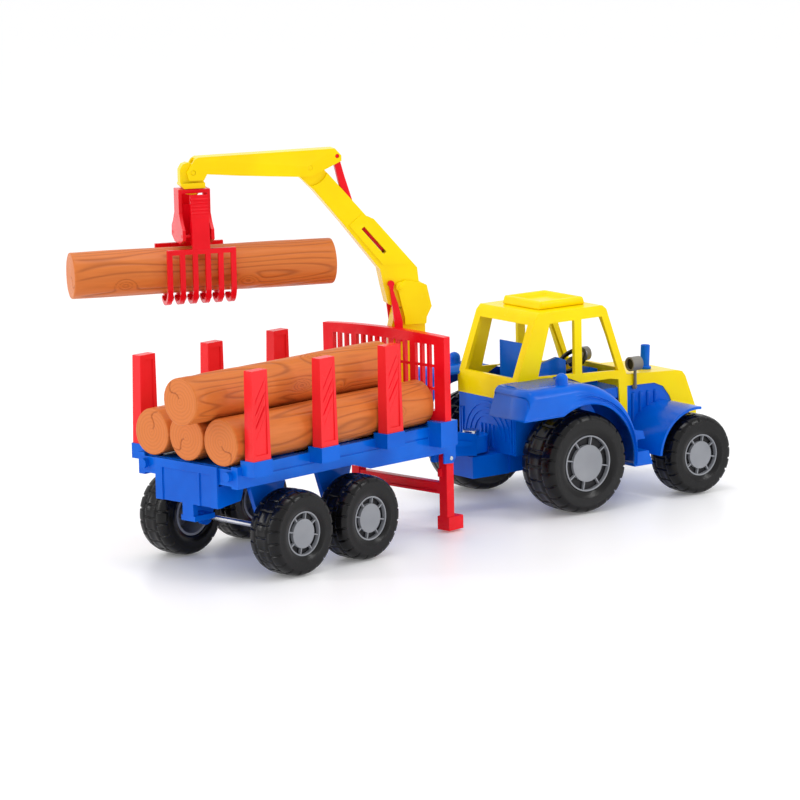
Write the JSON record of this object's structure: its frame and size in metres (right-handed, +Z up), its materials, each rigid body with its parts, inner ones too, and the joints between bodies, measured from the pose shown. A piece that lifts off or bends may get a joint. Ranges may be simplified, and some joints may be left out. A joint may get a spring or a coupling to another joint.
{
  "type": "toy tractor",
  "caption": "toy tractor hitched to a timber trailer with stakes, folding legs, a slewing loader crane with a grapple, and loose logs",
  "frame": {"origin": "on the floor under the middle of the whole model's bounding box", "axes": "+X from the trailer towards the tractor, +Y to the left of travel, +Z up"},
  "size_m": [0.6622, 0.3176, 0.3618],
  "materials": {
    "blue_shell": "glossy",
    "yellow_shell": "glossy",
    "red_shell": "glossy",
    "tyre_black": "satin",
    "hub_grey": "satin",
    "axle_steel": "polished",
    "log_brown": "satin with moulded grain"
  },
  "bodies": {
    "trailer": {"bed": "blue_shell", "hangers": "blue_shell", "bumper": "blue_shell", "neck": "blue_shell", "headboard": "red_shell", "crane_base": "blue_shell", "stake_l1": "red_shell", "stake_l2": "red_shell", "stake_l3": "red_shell", "stake_r1": "red_shell", "stake_r2": "red_shell", "stake_r3": "red_shell", "leg_pin": "axle_steel"},
    "legs": {"leg_frame": "red_shell"},
    "wheels_t1": {"axle_t1": "axle_steel", "hubs_t1": "hub_grey", "tyres_t1": "tyre_black"},
    "wheels_t2": {"axle_t2": "axle_steel", "hubs_t2": "hub_grey", "tyres_t2": "tyre_black"},
    "log_left": {"log_1": "log_brown"},
    "log_middle": {"log_2": "log_brown"},
    "log_right": {"log_3": "log_brown"},
    "log_top": {"log_4": "log_brown"},
    "tractor": {"chassis": "blue_shell", "rear_panel": "blue_shell", "hood": "yellow_shell", "cab": "yellow_shell", "roof_hatch": "yellow_shell", "fender_l": "blue_shell", "fender_r": "blue_shell", "front_guards": "blue_shell", "steps": "blue_shell", "seat": "blue_shell", "exhaust": "blue_shell", "lamps": "hub_grey", "hitch_pin": "axle_steel"},
    "wheels_r": {"axle_r": "axle_steel", "hubs_r": "hub_grey", "tyres_r": "tyre_black"},
    "wheels_f": {"axle_f": "axle_steel", "hubs_f": "hub_grey", "tyres_f": "tyre_black"},
    "steering": {"steering_wheel": "tyre_black"},
    "crane": {"column": "yellow_shell", "boom_pin": "yellow_shell"},
    "boom": {"boom": "yellow_shell"},
    "lift_strut": {"lift_strut": "red_shell"},
    "jib": {"jib": "yellow_shell", "jib_pin": "yellow_shell"},
    "jib_strut": {"jib_strut": "red_shell"},
    "tip": {"tip_block": "yellow_shell", "tip_pin": "yellow_shell"},
    "grapple": {"grapple_body": "red_shell", "claw_pins": "red_shell"},
    "claw_near": {"claw_near": "red_shell"},
    "claw_far": {"claw_far": "red_shell"},
    "log_held": {"log_held": "log_brown"}
  },
  "joints": [
    {"name": "hitch", "type": "hinge", "parent": "trailer", "child": "tractor", "pos_m": [0.07291, -0.01976, 0.06], "axis": [0, 0, 1], "range_deg": [-32, 52]},
    {"name": "leg_fold", "type": "hinge", "parent": "trailer", "child": "legs", "pos_m": [-0.02409, -0.01976, 0.071], "axis": [0, 1, 0], "range_deg": [0, 88]},
    {"name": "axle_rear_spin", "type": "hinge", "parent": "trailer", "child": "wheels_t1", "pos_m": [-0.24509, -0.01976, 0.039], "axis": [0, 1, 0], "continuous": true},
    {"name": "axle_front_spin", "type": "hinge", "parent": "trailer", "child": "wheels_t2", "pos_m": [-0.15909, -0.01976, 0.039], "axis": [0, 1, 0], "continuous": true},
    {"name": "log_left_slide", "type": "slide", "parent": "trailer", "child": "log_left", "axis": [-1, 0, 0], "range_m": [0, 0.1]},
    {"name": "log_middle_slide", "type": "slide", "parent": "trailer", "child": "log_middle", "axis": [-1, 0, 0], "range_m": [0, 0.1]},
    {"name": "log_right_slide", "type": "slide", "parent": "trailer", "child": "log_right", "axis": [-1, 0, 0], "range_m": [0, 0.1]},
    {"name": "log_top_slide", "type": "slide", "parent": "trailer", "child": "log_top", "axis": [-1, 0, 0], "range_m": [0, 0.1]},
    {"name": "big_wheels_spin", "type": "hinge", "parent": "tractor", "child": "wheels_r", "pos_m": [0.13692, -0.03105, 0.049], "axis": [0.1736, 0.9848, 0], "continuous": true},
    {"name": "small_wheels_spin", "type": "hinge", "parent": "tractor", "child": "wheels_f", "pos_m": [0.27578, -0.05554, 0.039], "axis": [0.1736, 0.9848, 0], "continuous": true},
    {"name": "steer", "type": "hinge", "parent": "tractor", "child": "steering", "pos_m": [0.19699, -0.04164, 0.128], "axis": [-0.6063, 0.1069, 0.788], "range_deg": [-150, 150]},
    {"name": "slew", "type": "hinge", "parent": "trailer", "child": "crane", "pos_m": [-0.02509, -0.01976, 0.12], "axis": [0, 0, 1], "range_deg": [-72, 132]},
    {"name": "boom_lift", "type": "hinge", "parent": "crane", "child": "boom", "pos_m": [-0.02561, -0.01946, 0.229], "axis": [0.515, 0.8572, 0], "range_deg": [-5, 15]},
    {"name": "lift_strut_swing", "type": "hinge", "parent": "boom", "child": "lift_strut", "pos_m": [-0.03315, -0.01492, 0.2323], "axis": [0.515, 0.8572, 0], "range_deg": [-15, 5]},
    {"name": "jib_fold", "type": "hinge", "parent": "boom", "child": "jib", "pos_m": [-0.0971, 0.0235, 0.345], "axis": [-0.515, -0.8572, 0], "range_deg": [-12, 9]},
    {"name": "jib_strut_swing", "type": "hinge", "parent": "jib", "child": "jib_strut", "pos_m": [-0.07481, 0.01011, 0.3546], "axis": [-0.515, -0.8572, 0], "range_deg": [-9, 12]},
    {"name": "tip_swing", "type": "hinge", "parent": "jib", "child": "tip", "pos_m": [-0.19224, 0.08067, 0.346], "axis": [0.515, 0.8572, 0], "range_deg": [-4, 12]},
    {"name": "grapple_turn", "type": "hinge", "parent": "tip", "child": "grapple", "pos_m": [-0.19224, 0.08067, 0.331], "axis": [0, 0, 1], "continuous": true},
    {"name": "claw_near_open", "type": "hinge", "parent": "grapple", "child": "claw_near", "pos_m": [-0.20203, 0.06438, 0.289], "axis": [-0.8572, 0.515, 0], "range_deg": [0, 25]},
    {"name": "claw_far_open", "type": "hinge", "parent": "grapple", "child": "claw_far", "pos_m": [-0.18246, 0.09695, 0.289], "axis": [0.8572, -0.515, 0], "range_deg": [0, 25]},
    {"name": "held_log_slide", "type": "slide", "parent": "grapple", "child": "log_held", "axis": [-0.8572, 0.515, 0], "range_m": [-0.012, 0.04]}
  ],
  "couplings": [
    {"joint": "lift_strut_swing", "follows": "boom_lift", "ratio": -1},
    {"joint": "jib_strut_swing", "follows": "jib_fold", "ratio": -0.98},
    {"joint": "claw_far_open", "follows": "claw_near_open", "ratio": 1}
  ]
}
